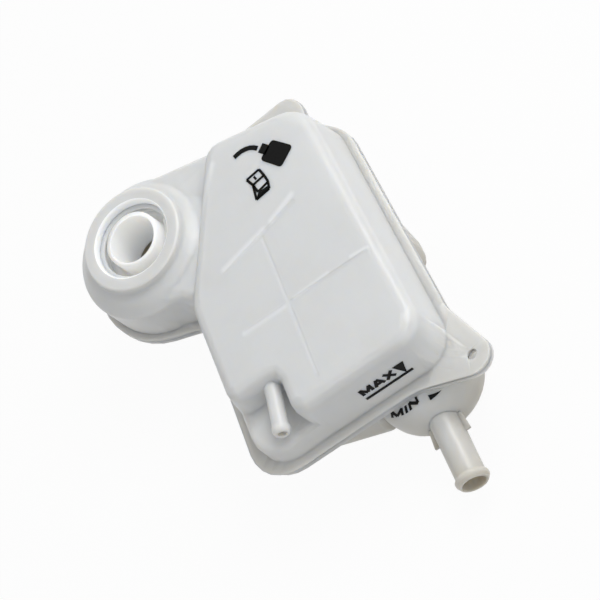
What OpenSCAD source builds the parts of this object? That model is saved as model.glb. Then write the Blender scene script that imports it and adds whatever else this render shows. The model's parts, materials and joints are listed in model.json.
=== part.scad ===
// Coolant expansion tank: two moulded half shells joined on a flat weld flange.
// Drawn in millimetres with X across the body, Y from front to back and Z up.
// Inside the drawing, X and Y start at the front left corner of the weld flange
// and Z starts at the weld plane. The finished part is moved so that its origin
// is under the middle of its box, on the surface that it stands on.

/* [Body] */
// Width of the weld flange at the front of the body
body_w = 145.5; // [130:0.5:170]
// How much narrower the weld flange is at the back
back_taper = 16.5; // [8:0.5:20]
// Length of the body from the front flange edge to the back corner
body_len = 179; // [160:1:200]
// Wall thickness of both shells
wall = 2.5; // [2:0.1:3.5]
// Thickness of each half of the weld flange
flange_t = 2.8; // [2:0.1:4]
// Width of the weld flange in front of the walls
flange_w = 5.5; // [4:0.5:7]
// Width of the weld flange at the left side of the body
left_flange_w = 8; // [5:0.5:10]
// Draft of the walls in degrees
draft = 2.5; // [1:0.5:4]

/* [Upper shell] */
// Height of the top panel above the weld plane
panel_h = 38; // [34:0.5:44]
// Height of the arm's top around the filler turret
arm_h = 31; // [28:0.5:32]
// Height of the low shelf under the vent nipple
shelf_h = 17.5; // [14:0.5:19]
// Rounding of the top panel's edge
panel_fillet = 8; // [5:0.5:10]
// Rounding of the shelf's edge
shelf_fillet = 4; // [2:0.5:6]
// Distance from the front flange edge to the step wall behind the shelf
step_y = 38; // [34:1:46]
// Distance from the left flange edge to the shelf's right end
step_x = 42; // [38:1:48]
// Depth of the sink grooves over the inner ribs
groove_d = 0.7; // [0.3:0.1:1]
// Width of the sink grooves
groove_w = 3; // [2:0.5:5]
// Depth of the ribs under the top panel
rib_d = 9; // [5:1:12]
// Thickness of the ribs
rib_t = 1.8; // [1.2:0.1:2.5]

/* [Filler turret] */
// Filler axis, across from the left flange edge
neck_x = -5.9; // [-8:0.1:-4]
// Filler axis, back from the front flange edge
neck_y = 171.8; // [168:0.1:176]
// Reach of the weld flange beyond the turret body
lobe_lip = 4; // [3:0.5:6]
// Radius of the turret body
turret_r = 44; // [43:0.5:45]
// Height of the turret body's edge above the weld plane
turret_h = 28; // [26:0.5:30]
// Outer radius of the filler collar
collar_r = 32.5; // [31:0.5:34]
// Height of the collar's rim above the weld plane
rim_h = 43.5; // [42:0.5:50]
// Height of the collar's straight outer wall
collar_h = 5.5; // [4:0.5:6]
// Inner radius of the collar, where the cap's thread runs
thread_r = 24; // [22:0.5:25.5]
// Radius of the filler bore
bore_r = 14.75; // [13:0.25:16]
// Wall of the inner sealing tube
tube_wall = 2.5; // [2:0.1:3]
// Depth of the moat between the collar and the inner tube
moat_d = 18; // [12:1:20]
// Length of the filler bore
bore_len = 27; // [24:1:30]
// How far the inner tube's rim lies below the collar's rim
tube_drop = 1.5; // [0.5:0.5:4]

/* [Vent nipple] */
// Outer radius of the vent nipple
vent_r = 4.9; // [4:0.1:5.5]
// Bore radius of the vent nipple
vent_bore_r = 2.6; // [2:0.1:3]
// Length of the vent nipple in front of the step wall
vent_len = 32; // [26:1:34]
// Height of the vent nipple's axis above the weld plane
vent_z = 27; // [26:0.5:28]
// Vent nipple's root, across from the left flange edge
vent_x = 34.8; // [33:0.1:35]
// Sideways angle of the vent nipple
vent_turn = 9; // [5:1:12]
// Height of the bead at the vent nipple's tip
vent_bead = 0.6; // [0.3:0.1:0.8]

/* [Lower shell] */
// Depth of the shell's flat bottom below the weld plane
base_d = 45; // [42:0.5:52]
// Depth of the lower shell under the arm and the shelf
shallow_d = 13; // [11:0.5:15]
// Rounding of the pan's bottom edge
base_fillet = 13; // [8:0.5:16]
// Front end of the bulge at the right side, back from the front flange edge
bulge_y = 93; // [88:1:98]
// Distance of the bulge from the right flange edge
bulge_gap = 5; // [4:0.5:8]
// Radius of the sump
sump_r = 36.5; // [34:0.5:38]
// Sump's axis, across from the left flange edge
sump_x = 103.5; // [101:0.5:106]
// Sump's axis, back from the front flange edge
sump_y = 31; // [29:0.5:34]
// Rounding of the sump's bottom edge
sump_fillet = 11; // [8:0.5:14]

/* [Hose nipple] */
// Outer radius of the hose nipple
hose_r = 9.4; // [8:0.1:10]
// Bore radius of the hose nipple
hose_bore_r = 7.7; // [6.5:0.1:7.8]
// Height of the bead at the hose nipple's mouth
hose_bead = 1.35; // [0.8:0.05:1.6]
// Length of the bead
bead_len = 6; // [4:0.5:8]
// Hose nipple's mouth, across from the left flange edge
hose_x = 105.9; // [103:0.1:108]
// Length from the sump's axis to the hose nipple's mouth
hose_len = 84.5; // [78:0.5:90]
// Depth of the mouth's centre below the weld plane
hose_d = 30; // [29:0.5:31]
// Downward tilt of the hose nipple
hose_tilt = 8; // [4:1:9]
// Reach of the fins in front of the sump's wall
fin_len = 17; // [12:0.5:20]
// Height of the fins beside the tube
fin_h = 3.2; // [2:0.1:4]
// Thickness of the fins
fin_t = 2.2; // [1.5:0.1:3]

/* [Ears] */
// Front ear's sharp corner, across from the left flange edge
ear_x = 172; // [168:0.5:176]
// Front ear's sharp corner, in front of the front flange edge
ear_y = 27; // [24:0.5:30]
// Rounding of the front ear around its hole
ear_r = 13.5; // [12:0.5:15]
// Radius of the front ear's screw hole
ear_hole_r = 3.4; // [2.5:0.1:4]
// Back tab's right edge, across from the left flange edge
tab_x = 108; // [100:0.5:112]
// Back tab's end, back from the front flange edge
tab_y = 224.5; // [220:0.5:228]
// Rounding of the back tab
tab_r = 11; // [8:0.5:14]

/* [Hidden] */
$fn = 72;
eps = 0.01;
plastic = [0.93, 0.93, 0.91];
arm_slope = 18.6;
back_slope = 10.8;
lobe_r = turret_r + lobe_lip;
shell_lobe_r = turret_r - 0.5;
lap = 0.4;
low_fillet = 6;
flare_x = 107.5;
flare_end_y = 36.8;
tab_left_x = 66;
tab_root_y = body_len + 22;
crease_x = 54;
crease_y = 112;
hose_lip = 0.4;
right_slope = back_taper / body_len;

// Outline helpers. A corner is [x, y, radius], listed counterclockwise.
function unit(v) = v / norm(v);
function turn_left(v) = [-v[1], v[0]];
function xy(c) = [c[0], c[1]];
function wrap(i, n) = (i + n) % n;
function cross2(a, b) = a[0] * b[1] - a[1] * b[0];
function short_turn(a) = a > 180 ? a - 360 : a < -180 ? a + 360 : a;

// Line at the right edge of the weld flange
function right_x(y) = body_w - y * right_slope;

// Lines along the arm's front and along the body's back, tangent to a circle of radius r at the filler
function arm_y(x, r) = neck_y - r / cos(arm_slope) - (x - neck_x) * tan(arm_slope);
function back_y(x, r) = neck_y + r / cos(back_slope) - (x - neck_x) * tan(back_slope);

// Points where those lines touch the circle
function arm_touch(r) = [neck_x - r * sin(arm_slope), neck_y - r * cos(arm_slope), 0];
function back_touch(r) = [neck_x + r * sin(back_slope), neck_y + r * cos(back_slope), 0];

// Arc at corner i of outline c, with steps counted at the corner of outline c0
function arc_steps(c, i) =
    let (n = len(c), p = xy(c[i]),
         u = unit(p - xy(c[wrap(i - 1, n)])), v = unit(xy(c[wrap(i + 1, n)]) - p))
    max(2, round(acos(max(-1, min(1, u * v))) * sqrt(c[i][2]) / 75));
function corner_mid(c, i) =
    let (n = len(c), p = xy(c[i]),
         a = unit(xy(c[wrap(i - 1, n)]) - p), b = unit(xy(c[wrap(i + 1, n)]) - p))
    p + unit(a + b) * c[i][2] / sin(acos(a * b) / 2);
function corner_arc(c0, c, i) =
    let (n = len(c), p = xy(c[i]), r = c[i][2])
    r == 0 ? [p] :
    let (a = unit(xy(c[wrap(i - 1, n)]) - p), b = unit(xy(c[wrap(i + 1, n)]) - p),
         mid = corner_mid(c, i), reach = r / tan(acos(a * b) / 2),
         t1 = p + a * reach - mid, t2 = p + b * reach - mid,
         a1 = atan2(t1[1], t1[0]), sweep = short_turn(atan2(t2[1], t2[0]) - a1), m = arc_steps(c0, i))
    [for (k = [0:m]) mid + r * [cos(a1 + sweep * k / m), sin(a1 + sweep * k / m)]];
function rounded(c) = [for (i = [0:len(c) - 1]) each corner_arc(c, c, i)];

// Outline moved inward by d on every side
function inset_corner(c, i, d) =
    let (n = len(c), p = xy(c[i]),
         u = unit(p - xy(c[wrap(i - 1, n)])), v = unit(xy(c[wrap(i + 1, n)]) - p),
         n1 = turn_left(u), n2 = turn_left(v), s = cross2(u, v) > 0 ? -1 : 1)
    [each p + (n1 + n2) * d / (1 + n1 * n2), c[i][2] == 0 ? 0 : max(0.3, c[i][2] + s * d)];
function ring(c, d, z) =
    let (ci = [for (i = [0:len(c) - 1]) inset_corner(c, i, d)])
    [for (i = [0:len(c) - 1]) each [for (p = corner_arc(c, ci, i)) [p[0], p[1], z]]];

// Side profile of a drafted block with a rounded far edge, as [inset, height] pairs.
// It reaches from the height start to the height h.
function block_profile(h, fillet, start) =
    let (run = (h - fillet) * tan(draft), steps = 3)
    [[start * tan(draft), start], for (k = [0:steps])
        [run + fillet * (1 - cos(90 * k / steps)), h - fillet + fillet * sin(90 * k / steps)]];

// Closed solid through rings of equal length, from the lowest ring to the highest.
// Its flat ends are fans around mid, a point that sees the whole outline.
module loft(rings, mid) {
    m = len(rings);
    n = len(rings[0]);
    last = (m - 1) * n;
    sides = [for (j = [0:m - 2]) for (i = [0:n - 1]) each [
        [j * n + i, (j + 1) * n + (i + 1) % n, j * n + (i + 1) % n],
        [j * n + i, (j + 1) * n + i, (j + 1) * n + (i + 1) % n]]];
    ends = [for (i = [0:n - 1]) each [
        [m * n, i, (i + 1) % n],
        [m * n + 1, last + (i + 1) % n, last + i]]];
    polyhedron(concat([for (r = rings) each r],
        [[mid[0], mid[1], rings[0][0][2]], [mid[0], mid[1], rings[m - 1][0][2]]]),
        concat(sides, ends), 6);
}

// Drafted block built upward or downward from the weld plane, with its walls moved inward by gap
module block(c, mid, h, fillet, gap = 0, start = 0) {
    loft([for (p = block_profile(h, fillet, start)) ring(c, gap + p[0], p[1])], mid);
}
module block_down(c, mid, h, fillet, gap = 0, start = 0) {
    rows = block_profile(h, fillet, start);
    loft([for (k = [len(rows) - 1:-1:0]) ring(c, gap + rows[k][0], -rows[k][1])], mid);
}

// Flange outline with both ears
flange_corners = [
    [0, 0, 25],
    [flare_x, 0, 40],
    [ear_x, -ear_y, ear_r],
    [right_x(flare_end_y), flare_end_y, 20],
    [right_x(body_len), body_len, 25],
    [tab_x + 0.5, tab_root_y, 6],
    [tab_x, tab_y, tab_r],
    [tab_left_x, back_y(neck_x, lobe_r), 20],
    [neck_x - lobe_r, neck_y + lobe_r, lobe_r],
    [neck_x - lobe_r, arm_y(neck_x - lobe_r, lobe_r), lobe_r],
    [0, arm_y(0, lobe_r), 8]];
ear_hole = corner_mid(flange_corners, 2);

// Points that see every corner of the outlines around them
body_mid = [72, 116];
shelf_mid = [30, 26];
arm_mid = [44, 130];

// Corners of the walls that several levels of the body share
front_right = [right_x(flange_w) - flange_w, flange_w, 20];
back_right = [right_x(body_len) - flange_w, back_y(right_x(body_len) - flange_w, shell_lobe_r), 25];

// Raised top panel: the step around the shelf, then counterclockwise to the crease before the arm
panel_corners = [
    [left_flange_w, step_y, 10],
    [step_x, step_y, 4],
    [step_x, flange_w, 12],
    front_right,
    back_right,
    [crease_x, back_y(crease_x, shell_lobe_r), 12],
    [left_flange_w, crease_y, 20]];

// Low shelf at the front left, which ends inside the panel's block
shelf_corners = [
    [left_flange_w + lap, flange_w + lap, 19],
    [step_x + 14, flange_w + lap, 0],
    [step_x + 14, step_y + 14, 0],
    [left_flange_w + lap, step_y + 14, 0]];

// Arm between the turret and the panel's block
arm_r = shell_lobe_r - lap;
arm_corners = [
    [left_flange_w + lap, step_y + 24, 0],
    [crease_x + 20, crease_y, 0],
    [crease_x + 20, back_y(crease_x + 20, arm_r), 0],
    back_touch(arm_r),
    arm_touch(arm_r),
    [left_flange_w + lap, arm_y(left_flange_w + lap, arm_r), 14]];

// Shallow part of the lower shell, without the round end under the turret
low_corners = [
    [left_flange_w, flange_w, 19],
    front_right,
    back_right,
    back_touch(shell_lobe_r - lap),
    arm_touch(shell_lobe_r - lap),
    [left_flange_w, arm_y(left_flange_w, shell_lobe_r - lap), 14]];

// Pan of the lower shell: its front wall slants and its right side bulges out
pan_corners = [
    [18, 27.5, 14],
    [sump_x - 34, 10.2, 10],
    [sump_x + 10, sump_y - 10, 14],
    [sump_x + 10, bulge_y, 1],
    [right_x(bulge_y) - bulge_gap, bulge_y, 14],
    [right_x(body_len) - 17, body_len + 1, 24],
    [32, body_len + 11, 24],
    [14, crease_y, 24]];

module flange_plate(z) {
    translate([0, 0, z]) linear_extrude(flange_t) polygon(rounded(flange_corners));
}

module ear_hole_cut() {
    translate([ear_hole[0], ear_hole[1], -flange_t - 1]) cylinder(r = ear_hole_r, h = 2 * flange_t + 2);
}

// Turret body, shoulder and collar as one turned form
module turret_outside() {
    edge = 1.5;
    round_r = 3;
    foot = rim_h - collar_h;
    translate([neck_x, neck_y, 0]) rotate_extrude() polygon(concat(
        [[0, flange_t / 2], [turret_r, flange_t / 2], [turret_r, turret_h - round_r]],
        [for (a = [15:15:45]) [turret_r - round_r + round_r * cos(a), turret_h - round_r + round_r * sin(a)]],
        [[collar_r + 1.2, foot - 1], [collar_r, foot + 0.8]],
        [for (a = [0:30:90]) [collar_r - edge + edge * cos(a), rim_h - edge + edge * sin(a)]],
        [[0, rim_h]]));
}

// Hollow of the turret and of the collar's double wall
module turret_hollow() {
    skirt_r = collar_r - wall - 0.5;
    translate([neck_x, neck_y, 0]) rotate_extrude() polygon([
        [0, -eps], [turret_r - wall, -eps], [turret_r - wall, turret_h - wall],
        [skirt_r, rim_h - collar_h - wall], [skirt_r, rim_h - wall], [0, rim_h - wall]]);
}

// Core that stays inside the hollow: thread wall, moat floor and inner tube, still without openings
module neck_core() {
    floor_z = rim_h - moat_d - wall;
    translate([neck_x, neck_y, 0]) rotate_extrude() polygon([
        [0, rim_h - tube_drop - bore_len], [bore_r + tube_wall, rim_h - tube_drop - bore_len],
        [bore_r + tube_wall, floor_z], [thread_r + wall, floor_z],
        [thread_r + wall, rim_h + 1], [0, rim_h + 1]]);
}

// Moat and bore, cut from above
module neck_openings() {
    lead = 1.2;
    translate([neck_x, neck_y, 0]) {
        rotate_extrude() polygon([
            [bore_r + tube_wall, rim_h - moat_d], [thread_r, rim_h - moat_d], [thread_r, rim_h - lead],
            [thread_r + lead + 1, rim_h + 1], [bore_r, rim_h + 1], [bore_r, rim_h - tube_drop],
            [bore_r + tube_wall, rim_h - tube_drop]]);
        translate([0, 0, rim_h - bore_len - tube_drop - 1]) cylinder(r = bore_r, h = bore_len + 5);
    }
}

// Frame of the vent nipple: its axis runs along its own +Z
module at_vent() {
    translate([vent_x, step_y, vent_z]) rotate([90, 0, -vent_turn]) children();
}

module vent_outside() {
    at_vent() rotate_extrude($fn = 40) polygon([
        [0, -6], [vent_r + 1, -6], [vent_r, 3], [vent_r, vent_len - 6],
        [vent_r + vent_bead, vent_len - 4.5], [vent_r + vent_bead, vent_len - 2.5],
        [vent_r - 0.5, vent_len], [0, vent_len]]);
}

module vent_hole() {
    at_vent() translate([0, 0, -14]) cylinder(r = vent_bore_r, h = vent_len + 15, $fn = 40);
}

// Straight bars along the inner ribs: lengthwise, crosswise and slanted at the back
module rib_bars(w, h, z) {
    bar_x = 67;
    bar_front = 20;
    cross_y = 74;
    cross_left = 36;
    cross_len = 88;
    slant_y = 124.5;
    slant_reach = 31;
    slant_len = 60;
    slant_turn = 16;
    translate([bar_x - w / 2, bar_front, z]) cube([w, slant_y - bar_front, h]);
    translate([cross_left, cross_y - w / 2, z]) cube([cross_len, w, h]);
    translate([bar_x, slant_y, z]) rotate(slant_turn) translate([-slant_reach, -w / 2, 0]) cube([slant_len, w, h]);
}

module upper_shell() {
    color(plastic) difference() {
        union() {
            flange_plate(0);
            block(shelf_corners, shelf_mid, shelf_h, shelf_fillet);
            block(arm_corners, arm_mid, arm_h, panel_fillet);
            block(panel_corners, body_mid, panel_h, panel_fillet);
            turret_outside();
            vent_outside();
        }
        difference() {
            union() {
                block(shelf_corners, shelf_mid, shelf_h - wall, shelf_fillet - 1, wall, -eps);
                block(arm_corners, arm_mid, arm_h - wall, panel_fillet - wall, wall, -eps);
                block(panel_corners, body_mid, panel_h - wall, panel_fillet - wall, wall, -eps);
                turret_hollow();
            }
            rib_bars(rib_t, rib_d + wall, panel_h - wall - rib_d);
            neck_core();
        }
        neck_openings();
        vent_hole();
        ear_hole_cut();
        rib_bars(groove_w, groove_d + 1, panel_h - groove_d);
    }
}

// Frame of the hose nipple: its axis runs along its own +Z, and its mouth is at hose_len
module at_hose() {
    translate([hose_x, sump_y - hose_len, -hose_d]) rotate([90 + hose_tilt, 0, 0])
        translate([0, 0, -hose_len]) children();
}

module hose_outside() {
    root = sump_r - 6;
    at_hose() {
        rotate_extrude() polygon([
            [0, root], [hose_r + 1.5, root], [hose_r, root + 14], [hose_r, hose_len - bead_len],
            [hose_r + hose_bead, hose_len - bead_len + 2], [hose_r + hose_bead, hose_len - 2.5],
            [hose_r - hose_lip, hose_len], [0, hose_len]]);
        translate([-hose_r - fin_h, -fin_t / 2, root])
            cube([2 * (hose_r + fin_h), fin_t, sump_r - root + fin_len]);
    }
}

module hose_hole() {
    at_hose() translate([0, 0, sump_r - 14]) cylinder(r = hose_bore_r, h = hose_len);
}

// Turned form of the sump, shrunk by gap
module sump_form(gap) {
    r = sump_r - gap;
    f = sump_fillet - gap;
    bottom = base_d - 0.5 - gap;
    translate([sump_x, sump_y, 0]) rotate_extrude() polygon(concat(
        [[0, -flange_t / 2], [r - 8, -flange_t / 2], [r - 5, -flange_t - 3], [r - 0.5, -12], [r, -17]],
        [for (a = [0:15:90]) [r - f + f * cos(a), f - bottom - f * sin(a)]],
        [[0, -bottom]]));
}

// Round end of the shallow part, under the turret
module lobe_form(gap, top) {
    r = shell_lobe_r - gap;
    f = low_fillet - gap;
    translate([neck_x, neck_y, 0]) rotate_extrude() polygon(concat(
        [[0, top], [r, top]],
        [for (a = [0:22.5:90]) [r - f + f * cos(a), f - shallow_d + gap - f * sin(a)]],
        [[0, gap - shallow_d]]));
}

module lower_shell() {
    color(plastic) difference() {
        union() {
            flange_plate(-flange_t);
            block_down(low_corners, body_mid, shallow_d, low_fillet, 0, lap);
            lobe_form(0, -flange_t / 2);
            block_down(pan_corners, body_mid, base_d, base_fillet, 0, 2 * lap);
            sump_form(0);
            hose_outside();
        }
        block_down(low_corners, body_mid, shallow_d - wall, low_fillet - wall, wall, -lap);
        lobe_form(wall, 1);
        block_down(pan_corners, body_mid, base_d - wall, base_fillet - wall, wall, -2 * lap);
        sump_form(wall);
        hose_hole();
        ear_hole_cut();
    }
}

// Middle of the finished part's box, and its bottom
box_left = neck_x - lobe_r;
box_right = ear_hole[0] + ear_r;
box_front = sump_y - hose_len - (hose_r - hose_lip) * sin(hose_tilt);
box_back = corner_mid(flange_corners, 6)[1] + tab_r;
place = [-(box_left + box_right) / 2, -(box_front + box_back) / 2, base_d];

translate(place) upper_shell();
translate(place) lower_shell();
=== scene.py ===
"""Coolant expansion tank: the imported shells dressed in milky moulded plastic.
Adds the rounded sump, the collar's thread, the level marks, the fill symbols and the stage."""

import json
import math

import bmesh
import bpy
from bpy.props import FloatProperty, FloatVectorProperty, PointerProperty
from mathutils import Matrix, Vector


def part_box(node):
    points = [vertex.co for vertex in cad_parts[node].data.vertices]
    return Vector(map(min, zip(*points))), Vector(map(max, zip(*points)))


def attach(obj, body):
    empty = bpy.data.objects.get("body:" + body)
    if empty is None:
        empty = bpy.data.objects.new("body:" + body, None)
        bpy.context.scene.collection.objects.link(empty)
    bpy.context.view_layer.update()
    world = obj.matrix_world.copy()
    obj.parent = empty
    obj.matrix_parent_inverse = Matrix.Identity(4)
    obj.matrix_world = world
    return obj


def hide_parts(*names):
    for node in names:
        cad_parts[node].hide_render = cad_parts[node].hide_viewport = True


bl_info = {
    "name": "Coolant Expansion Tank",
    "version": (1, 0, 0),
    "blender": (4, 5, 0),
    "location": "View3D > Sidebar > Tank",
    "description": "Dresses a two-shell coolant expansion tank in moulded plastic with its marks",
    "category": "Object",
}

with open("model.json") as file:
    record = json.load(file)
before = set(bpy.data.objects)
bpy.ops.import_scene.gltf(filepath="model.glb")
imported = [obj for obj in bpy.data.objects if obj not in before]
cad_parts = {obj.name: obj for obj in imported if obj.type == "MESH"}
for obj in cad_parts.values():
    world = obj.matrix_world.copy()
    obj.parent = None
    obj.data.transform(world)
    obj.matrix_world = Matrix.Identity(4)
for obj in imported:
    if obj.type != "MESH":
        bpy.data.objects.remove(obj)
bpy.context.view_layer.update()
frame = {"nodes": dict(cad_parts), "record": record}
MM = 0.001

# Places taken from the frame: the filler axis, the collar's rim, the weld and the ear's hole
MOUNTS = {m["name"]: m for m in frame["record"]["mounts"]}
FILLER = Vector(MOUNTS["filler_bore"]["pos_m"])
RIM_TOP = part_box("upper_shell")[1][2]
WELD_Z = MOUNTS["ear_hole"]["pos_m"][2]

# The filler axis and the ear's hole in the drawing's millimetres, from the flange's front left corner
NECK_X, NECK_Y = -5.9, 171.8
EAR_AT = ((MOUNTS["ear_hole"]["pos_m"][0] - FILLER.x) / MM + NECK_X,
          (MOUNTS["ear_hole"]["pos_m"][1] - FILLER.y) / MM + NECK_Y)

# The front wall's foot and draft, the top panel's height and the rounded sump's axis, in the tank's frame
WALL_FOOT = Vector((0, FILLER.y - 0.1663, WELD_Z))
WALL_DRAFT = math.radians(2.5)
PANEL_TOP = WELD_Z + 0.038
SUMP = Vector((FILLER.x + 0.1114, FILLER.y - 0.1503, 0))

# Where the neck's plastic is painted brighter and glows, painted light for light through the neck: within this
# radius of the filler axis, from this height above the weld
BRIGHT_RADIUS, BRIGHT_FOOT = 0.0252, 0.009

# Sink lines of the inner ribs, along which a paler colour is painted as painted highlights: start and end in the
# drawing's millimetres, half width and strength
SINK_LINES = (
    ((93.8, 136.9), (76.5, 129.6), 3.4, 0.5), ((69.5, 127.4), (38.5, 119.3), 3.6, 0.5),
    ((67.4, 122.0), (67.5, 24.0), 2.6, 0.3), ((36.0, 73.8), (64.0, 73.8), 3.2, 0.5),
    ((72.0, 75.0), (96.0, 76.6), 2.2, 0.35), ((113.0, 77.0), (124.0, 76.0), 2.2, 0.45),
    ((55.5, 187.0), (22.8, 146.0), 4.0, 0.45))
# Paler colour painted along the sink lines as painted highlights
PAINTED_HIGHLIGHT_COLOUR = (0.88, 0.885, 0.88, 1)

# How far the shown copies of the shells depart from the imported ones, in millimetres
EDGE_IN = 1.0
EAR_IN = 1.5
ARM_UP = 1.5
TUBE_DOWN = 5.0
GROOVE_UP = 0.45
SLOPE_IN = 6.0
SHELF_LEFT, SHELF_FRONT = 2.2, 1.0
VENT_CUT = 2.0
BULGE_OUT = 4.0
SUMP_IN = 8.0

# In the drawing: the vent nipple's root, turn and height, and the crease between arm and panel with the
# direction square to it
VENT_AT, VENT_TURN, VENT_Z = (34.8, 38), math.radians(9), 27
CREASE_AT, CREASE_OUT = (54, 204), (0.894, -0.447)

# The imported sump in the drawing: axis, radius, foot's rounding, bottom, and its wall
PACKED_SUMP, PACKED_RADIUS, PACKED_FOOT, PACKED_BOTTOM, PACKED_WALL = (103.5, 31.0), 36.5, 11, -44.5, 2.5

# The lowest mark on the sump's shoulder: radius its length is measured on, slope of its base line's place
# and the rise of its letters along the word
MIN_RADIUS, MIN_SLOPE, MIN_RISE = 0.026, math.radians(43), 0.44

# Outlines of the fill symbols on the top panel, in millimetres from the tank's middle
CAN_BODY = ((32.0, 85.5), (42.3, 72.7), (54.0, 81.0), (43.4, 93.0))
CAN_NECK = ((32.6, 90.9), (36.2, 86.4), (41.0, 90.2), (37.4, 94.7))
CAN_SPOUT = ((33.2, 93.6), (31.2, 95.6), (28.9, 97.1), (26.2, 98.0), (23.4, 98.4), (20.5, 98.2), (17.8, 97.6))
BOOK_LINES = (
    ((29.2, 80.4), (19.8, 79.0)), ((19.8, 79.0), (22.2, 73.5)), ((29.2, 80.4), (30.7, 74.9)),
    ((30.7, 74.9), (22.2, 73.5)), ((22.2, 73.5), (20.9, 63.3)), ((20.9, 63.3), (30.7, 64.8)),
    ((30.7, 74.9), (31.6, 70.0)), ((31.6, 70.0), (30.7, 64.8)), ((22.2, 73.5), (23.5, 67.4)),
    ((23.5, 67.4), (31.4, 69.4)))
BOOK_COVER = ((21.0, 63.3), (30.6, 64.7), (30.9, 67.2), (23.4, 67.0))
BOOK_NOTE = ((24.6, 78.2), (25.4, 75.6))

# The floor's grey and its own light, and the camera: its right and up, the photo's scale and its distance
FLOOR_GREY, FLOOR_GLOW = 0.62, 0.95
CAMERA_RIGHT, CAMERA_UP = (0.7935, -0.3109, -0.523), (0.5351, 0.7656, 0.357)
PHOTO_PIXELS, PIXELS_PER_MM = 600, 1.74
CAMERA_REACH = 4.0
SENSOR = 36.0


class TankFinish(bpy.types.PropertyGroup):
    milk: FloatVectorProperty(name="Milky plastic", description="Colour of the plastic where light falls on it",
                              subtype="COLOR", size=3, min=0, max=1, default=(0.67, 0.675, 0.67))
    # Painted shade: the warmer, darker colour painted on the plastic low down, where the shells are in shade
    painted_shade_tint: FloatVectorProperty(name="Painted shade",
                               description="Warmer colour of the plastic low down, where less light gets through",
                               subtype="COLOR", size=3, min=0, max=1, default=(0.47, 0.44, 0.37))
    ink: FloatVectorProperty(name="Marking ink", description="Colour of the hot-stamped marks",
                             subtype="COLOR", size=3, min=0, max=1, default=(0.004, 0.004, 0.004))
    depth: FloatProperty(name="Light depth", description="How far light spreads inside the plastic",
                         subtype="DISTANCE", unit="LENGTH", min=0.0005, max=0.03, default=0.006)
    gloss: FloatProperty(name="Roughness", description="Roughness of the moulded surface",
                         subtype="FACTOR", min=0, max=1, default=0.34)


class SumpSizes(bpy.types.PropertyGroup):
    radius: FloatProperty(name="Sump radius", description="Radius of the sump at its widest",
                          subtype="DISTANCE", unit="LENGTH", min=0.03, max=0.037, default=0.034)
    shoulder: FloatProperty(name="Shoulder radius",
                            description="Rounding between the sump's widest circle and the flange",
                            subtype="DISTANCE", unit="LENGTH", min=0.012, max=0.022, default=0.0206)
    widest: FloatProperty(name="Widest depth", description="Depth of the widest circle below the weld",
                          subtype="DISTANCE", unit="LENGTH", min=0.018, max=0.024, default=0.022)
    foot: FloatProperty(name="Foot radius", description="Rounding of the sump's bottom edge",
                        subtype="DISTANCE", unit="LENGTH", min=0.01, max=0.02, default=0.018)
    depth: FloatProperty(name="Sump depth", description="Depth of the sump's bottom below the weld",
                         subtype="DISTANCE", unit="LENGTH", min=0.04, max=0.045, default=0.0445)
    wall: FloatProperty(name="Wall", description="Wall thickness of the sump",
                        subtype="DISTANCE", unit="LENGTH", min=0.002, max=0.003, default=0.0025)


class ThreadSizes(bpy.types.PropertyGroup):
    turns: FloatProperty(name="Turns",
                         description="Turns of the cap's thread inside the collar", min=0.5, max=4, default=2.0)
    pitch: FloatProperty(name="Pitch", description="Rise of the thread in one turn",
                         subtype="DISTANCE", unit="LENGTH", min=0.002, max=0.01, default=0.005)
    outer: FloatProperty(name="Root radius",
                         description="Radius of the collar's inner wall that carries the thread",
                         subtype="DISTANCE", unit="LENGTH", min=0.02, max=0.03, default=0.0243)
    inner: FloatProperty(name="Crest radius", description="Radius of the thread's crest",
                         subtype="DISTANCE", unit="LENGTH", min=0.018, max=0.024, default=0.0218)


class MarkSizes(bpy.types.PropertyGroup):
    relief: FloatProperty(name="Ink thickness", description="How far a mark stands proud of the plastic",
                          subtype="DISTANCE", unit="LENGTH", min=0.00005, max=0.0005, default=0.00012)
    sink: FloatProperty(name="Ink sink", description="How far a mark reaches into the plastic",
                        subtype="DISTANCE", unit="LENGTH", min=0.0001, max=0.002, default=0.0004)


class StudioSizes(bpy.types.PropertyGroup):
    key: FloatProperty(name="Key light", description="Power of the large light at the upper right",
                       unit="POWER", min=0, max=100, default=8.4)
    fill: FloatProperty(name="World light",
                        description="Strength of the plain light from all sides", min=0, max=2, default=0.62)


def drawing_place(co):
    """A point of the tank's frame in the drawing's millimetres, with heights from the weld."""
    return ((co.x - FILLER.x) / MM + NECK_X, (co.y - FILLER.y) / MM + NECK_Y, (co.z - WELD_Z) / MM)


def panel_place(x, y):
    """A point of the top panel in the tank's frame, from the drawing's millimetres."""
    return Vector((FILLER.x + (x - NECK_X) * MM, FILLER.y + (y - NECK_Y) * MM, PANEL_TOP))


def metres(points):
    """Points in millimetres as a list in metres."""
    return [(x * MM, y * MM) for x, y in points]


def nothing_selected():
    """Leaves edit mode and deselects everything."""
    if bpy.context.object and bpy.context.object.mode != "OBJECT":
        bpy.ops.object.mode_set(mode="OBJECT")
    bpy.ops.object.select_all(action="DESELECT")


def only(piece):
    """Makes piece the one selected and active object."""
    nothing_selected()
    piece.select_set(True)
    bpy.context.view_layer.objects.active = piece


def settle(piece):
    """Moves a piece's place into its mesh, so that its object sits at the origin."""
    only(piece)
    bpy.ops.object.transform_apply(location=True, rotation=True, scale=True)


def even_normals(piece):
    """Lets the large flat faces keep their own direction, so that the light runs evenly over them."""
    only(piece)
    weigh = piece.modifiers.new("even_normals", "WEIGHTED_NORMAL")
    weigh.mode = "FACE_AREA"
    weigh.weight = 50
    weigh.keep_sharp = True
    bpy.ops.object.modifier_apply(modifier="even_normals")


def edit_all():
    """Enters edit mode with the whole mesh selected."""
    bpy.ops.object.mode_set(mode="EDIT")
    bpy.ops.mesh.select_all(action="SELECT")


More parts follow.
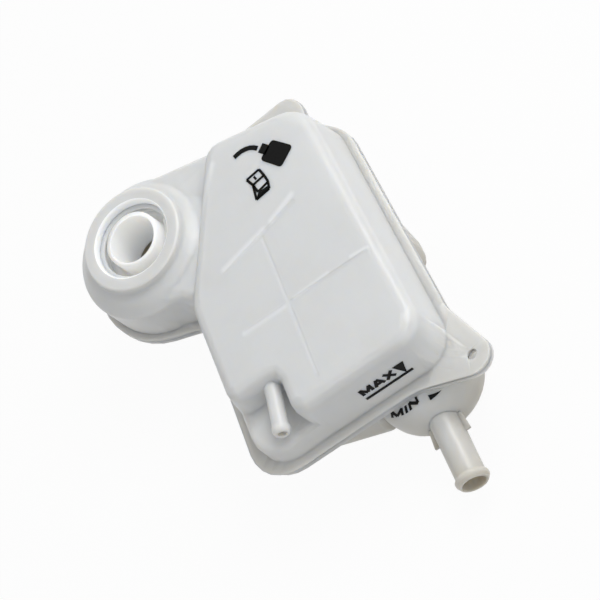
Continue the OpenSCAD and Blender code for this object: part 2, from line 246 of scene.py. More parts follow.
def faces_outward():
    """Turns every face of the mesh in edit mode outward and leaves edit mode."""
    bpy.ops.mesh.select_all(action="SELECT")
    bpy.ops.mesh.normals_make_consistent(inside=False)
    bpy.ops.object.mode_set(mode="OBJECT")


def join(pieces, name):
    """Joins pieces into the first one, under a new name."""
    nothing_selected()
    for p in pieces:
        p.select_set(True)
    bpy.context.view_layer.objects.active = pieces[0]
    if len(pieces) > 1:
        bpy.ops.object.join()
    pieces[0].name = name
    return pieces[0]


def moulding_and_shade_group():
    """Shader group of a natural moulding: cloudy patches and faint flow streaks, with painted shade deepening
    downwards.
    """
    name = "moulding_cloud"
    if name in bpy.data.node_groups:
        return bpy.data.node_groups[name]
    g = bpy.data.node_groups.new(name, "ShaderNodeTree")
    add = g.interface.new_socket
    add(name="Vector", in_out="INPUT", socket_type="NodeSocketVector")
    for label, default in (("Cloud Scale", 28.0), ("Cloud Amount", 0.35),
                           ("Low Height", 0.0), ("High Height", 0.05)):
        s = add(name=label, in_out="INPUT", socket_type="NodeSocketFloat")
        s.default_value = default
    add(name="Cloud And Shade Mask", in_out="OUTPUT", socket_type="NodeSocketFloat")
    add(name="Gloss Mask", in_out="OUTPUT", socket_type="NodeSocketFloat")
    add(name="Height", in_out="OUTPUT", socket_type="NodeSocketFloat")
    n, link = g.nodes, g.links.new
    inp, out = n.new("NodeGroupInput"), n.new("NodeGroupOutput")
    cloud = n.new("ShaderNodeTexNoise")
    cloud.inputs["Detail"].default_value = 3.0
    link(inp.outputs["Vector"], cloud.inputs["Vector"])
    link(inp.outputs["Cloud Scale"], cloud.inputs["Scale"])
    stretch = n.new("ShaderNodeMapping")
    stretch.inputs["Scale"].default_value = (160.0, 26.0, 60.0)
    stretch.inputs["Rotation"].default_value = (0.0, 0.0, 0.35)
    link(inp.outputs["Vector"], stretch.inputs["Vector"])
    streak = n.new("ShaderNodeTexNoise")
    streak.inputs["Scale"].default_value = 1.0
    streak.inputs["Detail"].default_value = 2.0
    link(stretch.outputs[0], streak.inputs["Vector"])
    grain = n.new("ShaderNodeTexNoise")
    grain.inputs["Scale"].default_value = 900.0
    grain.inputs["Detail"].default_value = 1.0
    link(inp.outputs["Vector"], grain.inputs["Vector"])
    split = n.new("ShaderNodeSeparateXYZ")
    link(inp.outputs["Vector"], split.inputs[0])
    # Painted shade: the mask rises towards the bottom, where the shells are in shade
    painted_shade_fall = n.new("ShaderNodeMapRange")
    painted_shade_fall.interpolation_type = "SMOOTHSTEP"
    painted_shade_fall.inputs["To Min"].default_value = 1.0
    painted_shade_fall.inputs["To Max"].default_value = 0.0
    link(split.outputs["Z"], painted_shade_fall.inputs["Value"])
    link(inp.outputs["Low Height"], painted_shade_fall.inputs["From Min"])
    link(inp.outputs["High Height"], painted_shade_fall.inputs["From Max"])
    centred = n.new("ShaderNodeMath")
    centred.operation = "SUBTRACT"
    centred.inputs[1].default_value = 0.5
    link(cloud.outputs["Fac"], centred.inputs[0])
    patch = n.new("ShaderNodeMath")
    patch.operation = "MULTIPLY_ADD"
    patch.use_clamp = True
    link(centred.outputs[0], patch.inputs[0])
    link(inp.outputs["Cloud Amount"], patch.inputs[1])
    link(painted_shade_fall.outputs[0], patch.inputs[2])
    link(patch.outputs[0], out.inputs["Cloud And Shade Mask"])
    link(streak.outputs["Fac"], out.inputs["Gloss Mask"])
    mix = n.new("ShaderNodeMath")
    mix.operation = "MULTIPLY_ADD"
    mix.inputs[1].default_value = 0.12
    link(grain.outputs["Fac"], mix.inputs[0])
    link(streak.outputs["Fac"], mix.inputs[2])
    link(mix.outputs[0], out.inputs["Height"])
    return g


def sink_line_group():
    """Shader group of one sink line's painted highlight: 1 along the line between two points, fading to 0 at its
    half width.
    """
    name = "sink_line"
    if name in bpy.data.node_groups:
        return bpy.data.node_groups[name]
    g = bpy.data.node_groups.new(name, "ShaderNodeTree")
    for label in ("Vector", "Start", "Span"):
        g.interface.new_socket(name=label, in_out="INPUT", socket_type="NodeSocketVector")
    g.interface.new_socket(name="Width", in_out="INPUT", socket_type="NodeSocketFloat").default_value = 0.004
    g.interface.new_socket(name="Mask", in_out="OUTPUT", socket_type="NodeSocketFloat")
    n, link = g.nodes, g.links.new
    inp, out = n.new("NodeGroupInput"), n.new("NodeGroupOutput")

    def vector(operation):
        node = n.new("ShaderNodeVectorMath")
        node.operation = operation
        return node

    away, along, span, share, clear, side, gap = (vector(o) for o in (
        "SUBTRACT", "DOT_PRODUCT", "DOT_PRODUCT", "SCALE", "MULTIPLY", "SUBTRACT", "LENGTH"))
    part = n.new("ShaderNodeMath")
    part.operation = "DIVIDE"
    part.use_clamp = True
    link(inp.outputs["Vector"], away.inputs[0])
    link(inp.outputs["Start"], away.inputs[1])
    link(away.outputs["Vector"], along.inputs[0])
    link(inp.outputs["Span"], along.inputs[1])
    link(inp.outputs["Span"], span.inputs[0])
    link(inp.outputs["Span"], span.inputs[1])
    link(along.outputs["Value"], part.inputs[0])
    link(span.outputs["Value"], part.inputs[1])
    link(inp.outputs["Span"], share.inputs[0])
    link(part.outputs[0], share.inputs["Scale"])
    link(away.outputs["Vector"], side.inputs[0])
    link(share.outputs["Vector"], side.inputs[1])
    clear.inputs[1].default_value = (1.0, 1.0, 0.4)
    link(side.outputs["Vector"], clear.inputs[0])
    link(clear.outputs["Vector"], gap.inputs[0])
    fade = n.new("ShaderNodeMapRange")
    fade.interpolation_type = "SMOOTHSTEP"
    fade.inputs["To Min"].default_value = 1.0
    fade.inputs["To Max"].default_value = 0.0
    link(gap.outputs["Value"], fade.inputs["Value"])
    link(inp.outputs["Width"], fade.inputs["From Max"])
    link(fade.outputs[0], out.inputs["Mask"])
    return g


def new_material(name):
    """A new material with its nodes, its link function and its surface node."""
    m = bpy.data.materials.new(name)
    m.use_nodes = True
    return m, m.node_tree.nodes, m.node_tree.links.new, m.node_tree.nodes["Principled BSDF"]


def milky_plastic(name, low, high, cloud, painted_light_lift=0.0, glow=0.0, lines=()):
    """Natural polypropylene: light enters it and spreads; a warmer, darker colour painted low down is painted
    shade, pale colour painted along the sink lines is painted highlight, and a lift and glow are painted light.
    """
    finish = bpy.context.scene.tank_finish
    m, n, link, bsdf = new_material(name)
    coords = n.new("ShaderNodeTexCoord")
    group = n.new("ShaderNodeGroup")
    group.node_tree = moulding_and_shade_group()
    group.inputs["Cloud Amount"].default_value = cloud
    group.inputs["Low Height"].default_value = low
    group.inputs["High Height"].default_value = high
    link(coords.outputs["Object"], group.inputs["Vector"])
    # The plastic's colour, moved towards the painted shade colour by the mask and brightened by the painted light
    # lift
    tint = n.new("ShaderNodeMix")
    tint.data_type = "RGBA"
    tint.inputs["A"].default_value = (*(c + painted_light_lift for c in finish.milk), 1)
    tint.inputs["B"].default_value = (*(c + painted_light_lift for c in finish.painted_shade_tint), 1)
    link(group.outputs["Cloud And Shade Mask"], tint.inputs["Factor"])
    colour = tint.outputs["Result"]
    # Painted highlights: a paler colour painted along each sink line
    for start, end, half, strength in lines:
        streak = n.new("ShaderNodeGroup")
        streak.node_tree = sink_line_group()
        a, b = panel_place(*start), panel_place(*end)
        streak.inputs["Start"].default_value = a
        streak.inputs["Span"].default_value = b - a
        streak.inputs["Width"].default_value = half * MM
        link(coords.outputs["Object"], streak.inputs["Vector"])
        level, pale = n.new("ShaderNodeMath"), n.new("ShaderNodeMix")
        level.operation = "MULTIPLY"
        level.inputs[1].default_value = strength
        link(streak.outputs["Mask"], level.inputs[0])
        pale.data_type = "RGBA"
        pale.inputs["B"].default_value = PAINTED_HIGHLIGHT_COLOUR
        link(level.outputs[0], pale.inputs["Factor"])
        link(colour, pale.inputs["A"])
        colour = pale.outputs["Result"]
    link(colour, bsdf.inputs["Base Color"])
    rough = n.new("ShaderNodeMapRange")
    rough.inputs["To Min"].default_value = finish.gloss - 0.06
    rough.inputs["To Max"].default_value = finish.gloss + 0.08
    link(group.outputs["Gloss Mask"], rough.inputs["Value"])
    link(rough.outputs[0], bsdf.inputs["Roughness"])
    bump = n.new("ShaderNodeBump")
    bump.inputs["Strength"].default_value = 0.25
    bump.inputs["Distance"].default_value = 0.0004
    link(group.outputs["Height"], bump.inputs["Height"])
    link(bump.outputs["Normal"], bsdf.inputs["Normal"])
    # Painted light: the plastic glows with its own colour, though it is no lamp
    if glow:
        link(tint.outputs["Result"], bsdf.inputs["Emission Color"])
        bsdf.inputs["Emission Strength"].default_value = glow
    bsdf.inputs["Subsurface Weight"].default_value = 1.0
    bsdf.inputs["Subsurface Radius"].default_value = (1.0, 0.86, 0.66)
    bsdf.inputs["Subsurface Scale"].default_value = finish.depth
    bsdf.inputs["IOR"].default_value = 1.49
    bsdf.inputs["Specular IOR Level"].default_value = 0.45
    return m


def stamped_ink():
    """Black hot-stamp foil with a faint grain, slightly glossier than the plastic."""
    finish = bpy.context.scene.tank_finish
    m, n, link, bsdf = new_material("stamped_ink")
    coords = n.new("ShaderNodeTexCoord")
    noise = n.new("ShaderNodeTexNoise")
    noise.inputs["Scale"].default_value = 700.0
    noise.inputs["Detail"].default_value = 2.0
    link(coords.outputs["Object"], noise.inputs["Vector"])
    tint = n.new("ShaderNodeMix")
    tint.data_type = "RGBA"
    tint.inputs["A"].default_value = (*finish.ink, 1)
    tint.inputs["B"].default_value = (0.010, 0.010, 0.010, 1)
    bsdf.inputs["Specular IOR Level"].default_value = 0.1
    link(noise.outputs["Fac"], tint.inputs["Factor"])
    link(tint.outputs["Result"], bsdf.inputs["Base Color"])
    rough = n.new("ShaderNodeMapRange")
    rough.inputs["To Min"].default_value = 0.38
    rough.inputs["To Max"].default_value = 0.55
    link(noise.outputs["Fac"], rough.inputs["Value"])
    link(rough.outputs[0], bsdf.inputs["Roughness"])
    return m


def ease(value, low, high):
    """Rises softly from 0 at low to 1 at high."""
    t = min(1.0, max(0.0, (value - low) / (high - low)))
    return t * t * (3 - 2 * t)


def pull_in_ear(co, x, y):
    """Moves the right flange edge in and draws the ear closer round its hole, which stays."""
    hx, hy = x - EAR_AT[0], y - EAR_AT[1]
    d = math.hypot(hx, hy)
    co.x -= EDGE_IN * MM * ease(x, 70, 120) * ease(d, 6, 18)
    off = abs((math.degrees(math.atan2(hy, hx)) + 42 + 180) % 360 - 180)
    if 6 < d < 24:
        pull = EAR_IN * MM * (1 - ease(off, 66, 100)) * ease(d, 6, 12)
        co.x -= hx / d * pull
        co.y -= hy / d * pull


def raise_arm(co, x, y, z):
    """Lifts the arm and the turret's edge, below the collar."""
    share = (1 - ease(x, 22, 50)) * ease(y, 112, 128)
    co.z += ARM_UP * MM * share * min(1.0, max(0.0, z / 28)) * (1 - ease(z, 33, 37))


def reach_down(co, x, y, z):
    """Lets the filler's inner tube reach deeper into the turret."""
    if z < 24 and math.hypot(co.x - FILLER.x, co.y - FILLER.y) < 0.0178:
        co.z -= TUBE_DOWN * MM


def soften_top(co, x, y, z):
    """Makes the sink grooves shallow and gives the panel's edge beside the arm a long soft slope."""
    if 36.5 < z < 37.6 and 30 < x < 128 and 15 < y < 145:
        co.z += GROOVE_UP * MM
    off = (x - CREASE_AT[0]) * CREASE_OUT[0] + (y - CREASE_AT[1]) * CREASE_OUT[1]
    if y > 100 and -2 < off < 11 and x < 62:
        share = ease(z, 30, 38) * (1 - ease(off, 8, 11)) * ease(y, 114, 140) * (1 - ease(y, 172, 194))
        slide = SLOPE_IN * MM * share
        co.x += CREASE_OUT[0] * slide
        co.y += CREASE_OUT[1] * slide


def spread_shelf(co, x, y, z):
    """Brings the low shelf's left wall out towards the flange's edge."""
    if 0.5 < z < 18:
        co.x -= SHELF_LEFT * MM * (1 - ease(x, 10, 26)) * (1 - ease(y, 45, 58))
        co.y -= SHELF_FRONT * MM * (1 - ease(y, 8, 20)) * (1 - ease(x, 30, 44))


def shorten_vent(co, x, y, z):
    """Draws the vent nipple's end in, bead and all."""
    dx, dy = VENT_AT[0] - x, VENT_AT[1] - y
    sway, run = math.sin(VENT_TURN), math.cos(VENT_TURN)
    across = math.hypot(dx * run - dy * sway, z - VENT_Z)
    if dx * sway + dy * run > 20 and across < 6.5:
        co.x += VENT_CUT * MM * sway
        co.y += VENT_CUT * MM * run


def swell_side(co, x, y, z):
    """Brings the bulge at the right side out towards the flange's edge."""
    side = ease(x, 112, 124) * ease(-z, 3, 13)
    co.x += BULGE_OUT * MM * side * ease(y, 80, 90) * (1 - ease(y, 140, 185))
    co.y -= BULGE_OUT * MM * side * ease(y, 86, 90) * (1 - ease(y, 96, 115))


def packed_sump_radius(z):
    """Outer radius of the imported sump's wall at a height of the drawing."""
    below = PACKED_BOTTOM + PACKED_FOOT - z
    if below > 0:
        return PACKED_RADIUS - PACKED_FOOT + math.sqrt(max(0.0, PACKED_FOOT ** 2 - below ** 2))
    if z < -17:
        return PACKED_RADIUS
    if z < -12:
        return PACKED_RADIUS + (z + 17) * 0.1
    return 36 + (z + 12) * 0.73


def tuck_sump(co, x, y, z):
    """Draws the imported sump's wall in behind the rounded sump that stands before it."""
    dx, dy = x - PACKED_SUMP[0], y - PACKED_SUMP[1]
    d = math.hypot(dx, dy)
    if z > -2.9 or z < -44.7 or d < 25 or d > 36.8:
        return
    outer = packed_sump_radius(z)
    if min(abs(d - outer), abs(d - outer + PACKED_WALL)) < 0.35:
        co.x -= dx / d * SUMP_IN * MM
        co.y -= dy / d * SUMP_IN * MM


def skin(node, name, material):
    """Smooth-shaded copy of a packed shell, which stands for it, drawn closer to the real moulding's form."""
    source = frame["nodes"][node]
    only(source)
    bpy.ops.object.duplicate(linked=False)
    piece = bpy.context.active_object
    piece.name = name
    world = piece.matrix_world.copy()
    piece.parent = None
    piece.matrix_world = world
    settle(piece)
    edit_all()
    bpy.ops.mesh.remove_doubles(threshold=0.00001)
    bpy.ops.object.mode_set(mode="OBJECT")
    for v in piece.data.vertices:
        x, y, z = drawing_place(v.co)
        pull_in_ear(v.co, x, y)
        if node == "upper_shell":
            raise_arm(v.co, x, y, z)
            reach_down(v.co, x, y, z)
            soften_top(v.co, x, y, z)
            spread_shelf(v.co, x, y, z)
            shorten_vent(v.co, x, y, z)
        else:
            swell_side(v.co, x, y, z)
            tuck_sump(v.co, x, y, z)
    bpy.ops.object.shade_smooth_by_angle(angle=math.radians(50))
    even_normals(piece)
    piece.data.materials.clear()
    piece.data.materials.append(material)
    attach(piece, "root")
    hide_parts(node)
    return piece


class TANK_OT_shells(bpy.types.Operator):
    """Dress both half shells in smooth milky plastic"""
    bl_idname = "tank.shells"
    bl_label = "Dress the shells"

    def execute(self, context):
        upper = milky_plastic("upper_milky_plastic", 0.0, 0.07, 0.4, lines=SINK_LINES)
        lower = milky_plastic("lower_milky_plastic", -0.01, 0.055, 0.5)
        # The neck's plastic is painted brighter and made to glow: painted light for light through the translucent
        # neck
        bright = milky_plastic("neck_painted_light_plastic", 0.0, 0.001, 0.2, painted_light_lift=0.15, glow=0.14)
        shell = skin("upper_shell", "upper_skin", upper)
        shell.data.materials.append(bright)
        for face in shell.data.polygons:
            c = face.center
            if math.hypot(c.x - FILLER.x, c.y - FILLER.y) < BRIGHT_RADIUS and c.z > WELD_Z + BRIGHT_FOOT:
                face.material_index = 1
        skin("lower_shell", "lower_skin", lower)
        return {"FINISHED"}


def sump_section(sizes, inset, steps):
    """Half section of the rounded sump as (radius, height) pairs, from the flange down to the axis."""
    r, s, f = sizes.radius - inset, sizes.shoulder - inset, sizes.foot - inset
    top = math.asin((sizes.widest - 0.0027) / sizes.shoulder)
    middle, low = WELD_Z - sizes.widest, WELD_Z - sizes.depth + sizes.foot
    points = []
    for k in range(steps + 1):
        a = top * (1 - k / steps)
        points.append((r - s + s * math.cos(a), middle + s * math.sin(a)))
    for k in range(steps + 1):
        a = math.pi / 2 * k / steps
        points.append((r - f + f * math.cos(a), low - f * math.sin(a)))
    return points + [(0.0, WELD_Z - sizes.depth + inset)]


class TANK_OT_sump(bpy.types.Operator):
    """Turn the rounded sump that bellies out in front of the weld flange"""
    bl_idname = "tank.sump"
    bl_label = "Turn the rounded sump"

    def execute(self, context):
        sizes = context.scene.tank_sump
        section = sump_section(sizes, 0.0, 10) + sump_section(sizes, sizes.wall, 10)[::-1]
        nothing_selected()
        bpy.ops.mesh.primitive_circle_add(vertices=len(section), radius=0.01)
        piece = context.active_object
        piece.name = "sump_bowl"
        for v, (r, z) in zip(piece.data.vertices, section):
            v.co = (r, 0, z)
        edit_all()
        bpy.ops.mesh.spin(steps=96, angle=math.tau, center=(0, 0, 0), axis=(0, 0, 1))
        bpy.ops.mesh.select_all(action="SELECT")
        bpy.ops.mesh.remove_doubles(threshold=0.00001)
        bpy.ops.mesh.dissolve_degenerate(threshold=0.00001)
        faces_outward()
        piece.location = (SUMP.x, SUMP.y, 0)
        settle(piece)
        bpy.ops.object.shade_smooth_by_angle(angle=math.radians(34))
        piece.data.materials.append(bpy.data.materials["lower_milky_plastic"])
        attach(piece, "root")
        return {"FINISHED"}


class TANK_OT_thread(bpy.types.Operator):
    """Wind the cap's thread inside the filler collar"""
    bl_idname = "tank.thread"
    bl_label = "Wind the collar's thread"

    def execute(self, context):
        t = context.scene.tank_thread
        nothing_selected()
        bpy.ops.mesh.primitive_plane_add(size=1)
        piece = context.active_object
        piece.name = "collar_thread"
        bpy.ops.object.mode_set(mode="EDIT")
        bm = bmesh.from_edit_mesh(piece.data)
        bm.verts.ensure_lookup_table()
        low, high = t.pitch * 0.36, t.pitch * 0.14
        start = RIM_TOP - 0.0035 - t.pitch * t.turns
        places = ((t.outer, -low), (t.inner, -high), (t.inner, high), (t.outer, low))
        ordered = sorted(bm.verts, key=lambda v: math.atan2(v.co.y, v.co.x))
        for v, (r, z) in zip(ordered, places):
            v.co = (r, 0, start + z)
        bmesh.ops.delete(bm, geom=list(bm.faces), context="FACES_ONLY")
        bmesh.update_edit_mesh(piece.data)
        bpy.ops.object.mode_set(mode="OBJECT")
        screw = piece.modifiers.new("thread", "SCREW")
        screw.axis = "Z"
        screw.angle = math.tau * t.turns
        screw.screw_offset = t.pitch * t.turns
        screw.steps = screw.render_steps = int(72 * t.turns)
        screw.use_merge_vertices = False
        bpy.ops.object.modifier_apply(modifier="thread")
        edit_all()
        bpy.ops.mesh.remove_doubles(threshold=0.00001)
        bpy.ops.mesh.fill_holes(sides=8)
        faces_outward()
        piece.location = (FILLER.x, FILLER.y, 0)
        settle(piece)
        bpy.ops.object.shade_smooth_by_angle(angle=math.radians(34))
        piece.data.materials.append(bpy.data.materials["upper_milky_plastic"])
        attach(piece, "root")
        return {"FINISHED"}


def as_piece(bm, name):
    """A new object with the mesh that was built."""
    mesh = bpy.data.meshes.new(name)
    piece = bpy.data.objects.new(name, mesh)
    bpy.context.collection.objects.link(piece)
    bm.to_mesh(mesh)
    bm.free()
    return piece


def flat_shape(points, name):
    """A flat many-sided face through the points, in the drawing plane of a mark."""
    bm = bmesh.new()
    bm.faces.new([bm.verts.new((x, y, 0)) for x, y in points])
    bmesh.ops.triangulate(bm, faces=list(bm.faces))
    return as_piece(bm, name)


def stroke(path, width, name):
    """A band of even width along a path of points, in the drawing plane of a mark."""
    left, right = [], []
    for i, p in enumerate(path):
        a = Vector(path[max(i - 1, 0)])
        b = Vector(path[min(i + 1, len(path) - 1)])
        d = (b - a).normalized()
        side = Vector((-d.y, d.x)) * width / 2
        left.append(tuple(Vector(p) + side))
        right.append(tuple(Vector(p) - side))
    bm = bmesh.new()
    a = [bm.verts.new((x, y, 0)) for x, y in left]
    b = [bm.verts.new((x, y, 0)) for x, y in right]
    for i in range(len(path) - 1):
        bm.faces.new((b[i], b[i + 1], a[i + 1], a[i]))
    return as_piece(bm, name)


# Capital letters as straight strokes in a cell one high: the cell's width, then each stroke's points
LETTERS = {
    "A": (0.94, (((0.05, 0.0), (0.45, 1.0)), ((0.49, 1.0), (0.89, 0.0)), ((0.20, 0.30), (0.74, 0.30)))),
    "I": (0.20, (((0.10, 0.0), (0.10, 1.0)),)),
    "M": (1.06, (((0.10, 0.0), (0.10, 1.0)), ((0.10, 0.97), (0.53, 0.12)),
                 ((0.53, 0.12), (0.96, 0.97)), ((0.96, 1.0), (0.96, 0.0)))),
    "N": (0.90, (((0.10, 0.0), (0.10, 1.0)), ((0.10, 0.97), (0.80, 0.03)), ((0.80, 0.0), (0.80, 1.0)))),
    "X": (0.90, (((0.06, 0.0), (0.84, 1.0)), ((0.06, 1.0), (0.84, 0.0)))),
}


def block_letters(word, name, height, length, weight):
    """A word as flat strokes of one weight, from the origin to the right, height high and length long."""
    gap = 0.16
    scale = length / (sum(LETTERS[c][0] for c in word) + gap * (len(word) - 1))
    bars, at = [], 0.0
    for c in word:
        cell, strokes = LETTERS[c]
        bars += [stroke([((at + x) * scale, y * height) for x, y in path], weight, name) for path in strokes]
        at += cell + gap
    return join(bars, name)


def rounded_box(corners, radius, steps=5):
    """Points of a polygon with rounded corners, for a mark."""
    out = []
    n = len(corners)
    for i in range(n):
        p = Vector(corners[i])
        before = (Vector(corners[i - 1]) - p).normalized()
        after = (Vector(corners[(i + 1) % n]) - p).normalized()
        half = before.angle(after) / 2
        reach = radius / math.tan(half)
        c = p + (before + after).normalized() * radius / math.sin(half)
        t1, t2 = p + before * reach - c, p + after * reach - c
        a1 = math.atan2(t1.y, t1.x)
        turn = (math.atan2(t2.y, t2.x) - a1 + math.pi) % math.tau - math.pi
        for k in range(steps + 1):
            a = a1 + turn * k / steps
            out.append((c.x + radius * math.cos(a), c.y + radius * math.sin(a)))
    return out


def stamp(pieces, name, place, slices=0.0):
    """Joins flat shapes into one mark, gives it the ink's thickness and lays it on the plastic.
    place turns a point (x, y, height above the plastic) of the drawing plane into the tank's frame."""
    sizes = bpy.context.scene.tank_marks
    mark = join(pieces, name)
    only(mark)
    bpy.ops.object.transform_apply(location=True, rotation=True, scale=True)
    edit_all()
    bpy.ops.mesh.remove_doubles(threshold=0.000002)
    if slices:
        low = min(v.co.x for v in mark.data.vertices)
        high = max(v.co.x for v in mark.data.vertices)
        x = low + slices
        while x < high:
            bpy.ops.mesh.select_all(action="SELECT")
            bpy.ops.mesh.bisect(plane_co=(x, 0, 0), plane_no=(1, 0, 0))
            x += slices
    bpy.ops.mesh.select_all(action="SELECT")
    bpy.ops.mesh.normals_make_consistent(inside=False)
    bpy.ops.mesh.extrude_region_move(TRANSFORM_OT_translate={"value": (0, 0, sizes.relief + sizes.sink)})
    bpy.ops.mesh.select_all(action="SELECT")
    bpy.ops.transform.translate(value=(0, 0, -sizes.sink))
    bpy.ops.object.mode_set(mode="OBJECT")
    for v in mark.data.vertices:
        v.co = place(v.co.x, v.co.y, v.co.z)
    only(mark)
    edit_all()
    faces_outward()
    mark.data.materials.clear()
    ink = bpy.data.materials.get("stamped_ink") or stamped_ink()
    mark.data.materials.append(ink)
    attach(mark, "root")
    return mark


def on_front_wall(x, y, h):
    """A point on the front wall: x along it from the tank's middle, y up its slope from the weld."""
    rise = Vector((0, math.sin(WALL_DRAFT), math.cos(WALL_DRAFT)))
    out = Vector((0, -math.cos(WALL_DRAFT), math.sin(WALL_DRAFT)))
    return WALL_FOOT + Vector((x, 0, 0)) + rise * y + out * h


def on_sump(x, y, h):
    """A point on the sump's shoulder: x runs round it from its foremost line, y up it from the mark's slope."""
    sizes = bpy.context.scene.tank_sump
    a = -math.pi / 2 + x / MIN_RADIUS
    b = MIN_SLOPE + y / sizes.shoulder
    r = sizes.radius - sizes.shoulder + (sizes.shoulder + h) * math.cos(b)
    z = WELD_Z - sizes.widest + (sizes.shoulder + h) * math.sin(b)
    return Vector((SUMP.x + r * math.cos(a), SUMP.y + r * math.sin(a), z))


def on_panel(x, y, h):
    """A point on the top panel, from the tank's middle."""
    return Vector((x, y, PANEL_TOP + h))


class TANK_OT_level_marks(bpy.types.Operator):
    """Stamp the highest and lowest level marks on the front of the shells"""
    bl_idname = "tank.level_marks"
    bl_label = "Stamp the level marks"

    def execute(self, context):
        word = block_letters("MAX", "max_word", 0.0062, 0.0234, 0.0021)
        word.location = (0.0283, 0.0168, 0)
        arrow = flat_shape([(0.0529, 0.0240), (0.0605, 0.0240), (0.0566, 0.0132)], "max_arrow")
        line = flat_shape([(0.0277, 0.0119), (0.0606, 0.0119), (0.0606, 0.0140), (0.0277, 0.0140)],
                          "max_line")
        stamp([word, arrow, line], "max_mark", on_front_wall)
        low = block_letters("MIN", "min_word", 0.0044, 0.0205, 0.0017)
        for v in low.data.vertices:
            v.co.y += v.co.x * MIN_RISE
        low.location = (-0.0240, -0.0042, 0)
        tip = flat_shape([(0.0026, 0.0020), (0.0110, 0.0015), (0.0033, 0.0052)], "min_arrow")
        stamp([low, tip], "min_mark", on_sump, slices=0.0015)
        return {"FINISHED"}


class TANK_OT_fill_symbols(bpy.types.Operator):
    """Stamp the can and the open book on the top panel"""
    bl_idname = "tank.fill_symbols"
    bl_label = "Stamp the fill symbols"

    def execute(self, context):
        can = flat_shape(rounded_box(metres(CAN_BODY), 0.0022), "can_body")
        neck = flat_shape(metres(CAN_NECK), "can_neck")
        spout = stroke(metres(CAN_SPOUT), 0.0030, "can_spout")
        stamp([can, neck, spout], "can_mark", on_panel)
        bars = [stroke(metres(ends), 0.0016, "book_line") for ends in BOOK_LINES]
        cover = flat_shape(metres(BOOK_COVER), "book_cover")
        note = stroke(metres(BOOK_NOTE), 0.0014, "book_note")
        stamp([*bars, cover, note], "book_mark", on_panel)
        return {"FINISHED"}


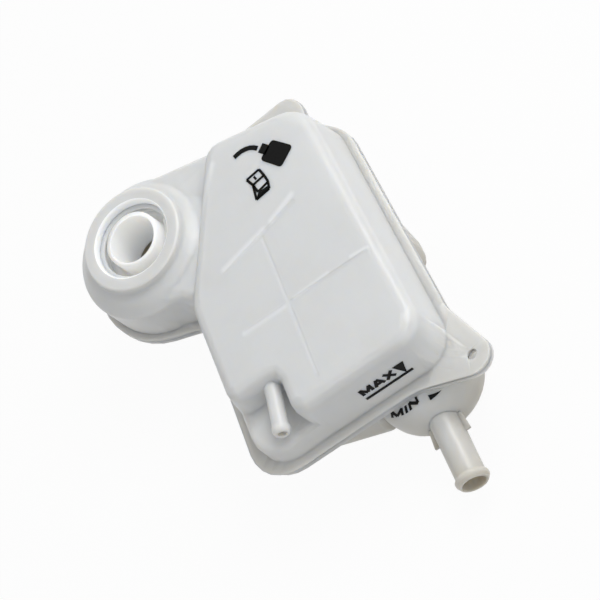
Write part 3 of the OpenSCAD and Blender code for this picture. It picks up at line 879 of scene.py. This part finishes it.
class TANK_OT_stage(bpy.types.Operator):
    """Set the pale floor, the soft lights and the camera"""
    bl_idname = "tank.stage"
    bl_label = "Set the stage"

    def execute(self, context):
        scene, sizes = context.scene, context.scene.tank_studio
        nothing_selected()
        bpy.ops.mesh.primitive_grid_add(x_subdivisions=8, y_subdivisions=8, size=6.0, location=(0, 0, -0.0004))
        floor = context.active_object
        floor.name = "floor"
        m, n, link, bsdf = new_material("floor_white")
        bsdf.inputs["Base Color"].default_value = (FLOOR_GREY, FLOOR_GREY, FLOOR_GREY, 1)
        bsdf.inputs["Roughness"].default_value = 0.9
        path, glow = n.new("ShaderNodeLightPath"), n.new("ShaderNodeEmission")
        mix = n.new("ShaderNodeMixShader")
        share, rays, both = n.new("ShaderNodeMath"), n.new("ShaderNodeMath"), n.new("ShaderNodeMath")
        glow.inputs["Strength"].default_value = 1.0
        rays.operation = both.operation = "MAXIMUM"
        link(path.outputs["Is Camera Ray"], rays.inputs[0])
        link(path.outputs["Is Glossy Ray"], rays.inputs[1])
        link(rays.outputs[0], both.inputs[0])
        link(path.outputs["Is Transmission Ray"], both.inputs[1])
        share.operation = "MULTIPLY"
        share.inputs[1].default_value = FLOOR_GLOW
        link(both.outputs[0], share.inputs[0])
        link(share.outputs[0], mix.inputs["Fac"])
        link(bsdf.outputs[0], mix.inputs[1])
        link(glow.outputs[0], mix.inputs[2])
        link(mix.outputs[0], n["Material Output"].inputs["Surface"])
        floor.data.materials.append(m)

        world = bpy.data.worlds.new("studio")
        scene.world = world
        world.use_nodes = True
        wn, wl = world.node_tree.nodes, world.node_tree.links.new
        back = wn["Background"]
        back.inputs["Color"].default_value = (1, 1, 1, 1)
        wpath, seen = wn.new("ShaderNodeLightPath"), wn.new("ShaderNodeMath")
        level = wn.new("ShaderNodeMapRange")
        seen.operation = "MAXIMUM"
        wl(wpath.outputs["Is Camera Ray"], seen.inputs[0])
        wl(wpath.outputs["Is Transmission Ray"], seen.inputs[1])
        level.inputs["To Min"].default_value = sizes.fill
        level.inputs["To Max"].default_value = 1.0
        wl(seen.outputs[0], level.inputs["Value"])
        wl(level.outputs[0], back.inputs["Strength"])

        def lamp(name, place, size, power):
            nothing_selected()
            bpy.ops.object.light_add(type="AREA", location=place)
            light = context.active_object
            light.name = name
            light.data.shape = "DISK"
            light.data.size = size
            light.data.energy = power
            aim = Vector((0, 0, 0.04)) - Vector(place)
            light.rotation_euler = aim.to_track_quat("-Z", "Y").to_euler()
            return light

        lamp("key_light", (0.75, 0.35, 0.95), 0.7, sizes.key)
        lamp("front_light", (0.5, -0.9, 0.5), 0.8, sizes.key * 0.14)

        right = Vector(CAMERA_RIGHT).normalized()
        up = Vector(CAMERA_UP).normalized()
        up = (up - right * up.dot(right)).normalized()
        back_dir = right.cross(up)
        target = Vector((FILLER.x + 0.0674, FILLER.y - 0.0748, WELD_Z + 0.0028))
        width = PHOTO_PIXELS / PIXELS_PER_MM * MM
        cam_data = bpy.data.cameras.new("photo_camera")
        cam = bpy.data.objects.new("photo_camera", cam_data)
        context.collection.objects.link(cam)
        cam_data.sensor_width = SENSOR
        cam_data.lens = SENSOR * CAMERA_REACH / width
        cam_data.clip_start, cam_data.clip_end = 0.05, 50
        turn = Matrix((right, up, back_dir)).transposed().to_4x4()
        cam.matrix_world = Matrix.Translation(target + back_dir * CAMERA_REACH) @ turn
        scene.camera = cam
        scene.view_settings.view_transform = "Standard"
        return {"FINISHED"}


class TANK_PT_tank(bpy.types.Panel):
    """Sizes and steps of the coolant expansion tank"""
    bl_idname = "TANK_PT_tank"
    bl_label = "Coolant Tank"
    bl_space_type = "VIEW_3D"
    bl_region_type = "UI"
    bl_category = "Tank"

    def draw(self, context):
        scene, layout = context.scene, self.layout
        for title, group, steps in (("Shells", scene.tank_finish, (TANK_OT_shells,)),
                                    ("Sump", scene.tank_sump, (TANK_OT_sump,)),
                                    ("Thread", scene.tank_thread, (TANK_OT_thread,)),
                                    ("Marks", scene.tank_marks, (TANK_OT_level_marks, TANK_OT_fill_symbols)),
                                    ("Studio", scene.tank_studio, (TANK_OT_stage,))):
            box = layout.box()
            box.label(text=title)
            for key in group.bl_rna.properties.keys():
                if key not in ("rna_type", "name"):
                    box.prop(group, key)
            for step in steps:
                box.operator(step.bl_idname)


GROUPS = {"tank_finish": TankFinish, "tank_sump": SumpSizes, "tank_thread": ThreadSizes,
          "tank_marks": MarkSizes, "tank_studio": StudioSizes}
CLASSES = (*GROUPS.values(), TANK_OT_shells, TANK_OT_sump, TANK_OT_thread, TANK_OT_level_marks,
           TANK_OT_fill_symbols, TANK_OT_stage, TANK_PT_tank)


def register():
    for c in CLASSES:
        bpy.utils.register_class(c)
    for name, group in GROUPS.items():
        setattr(bpy.types.Scene, name, PointerProperty(type=group))


def unregister():
    for name in GROUPS:
        delattr(bpy.types.Scene, name)
    for c in reversed(CLASSES):
        bpy.utils.unregister_class(c)


def main():
    register()
    bpy.ops.tank.shells()
    bpy.ops.tank.sump()
    bpy.ops.tank.thread()
    bpy.ops.tank.level_marks()
    bpy.ops.tank.fill_symbols()
    bpy.ops.tank.stage()


if __name__ == "__main__":
    main()
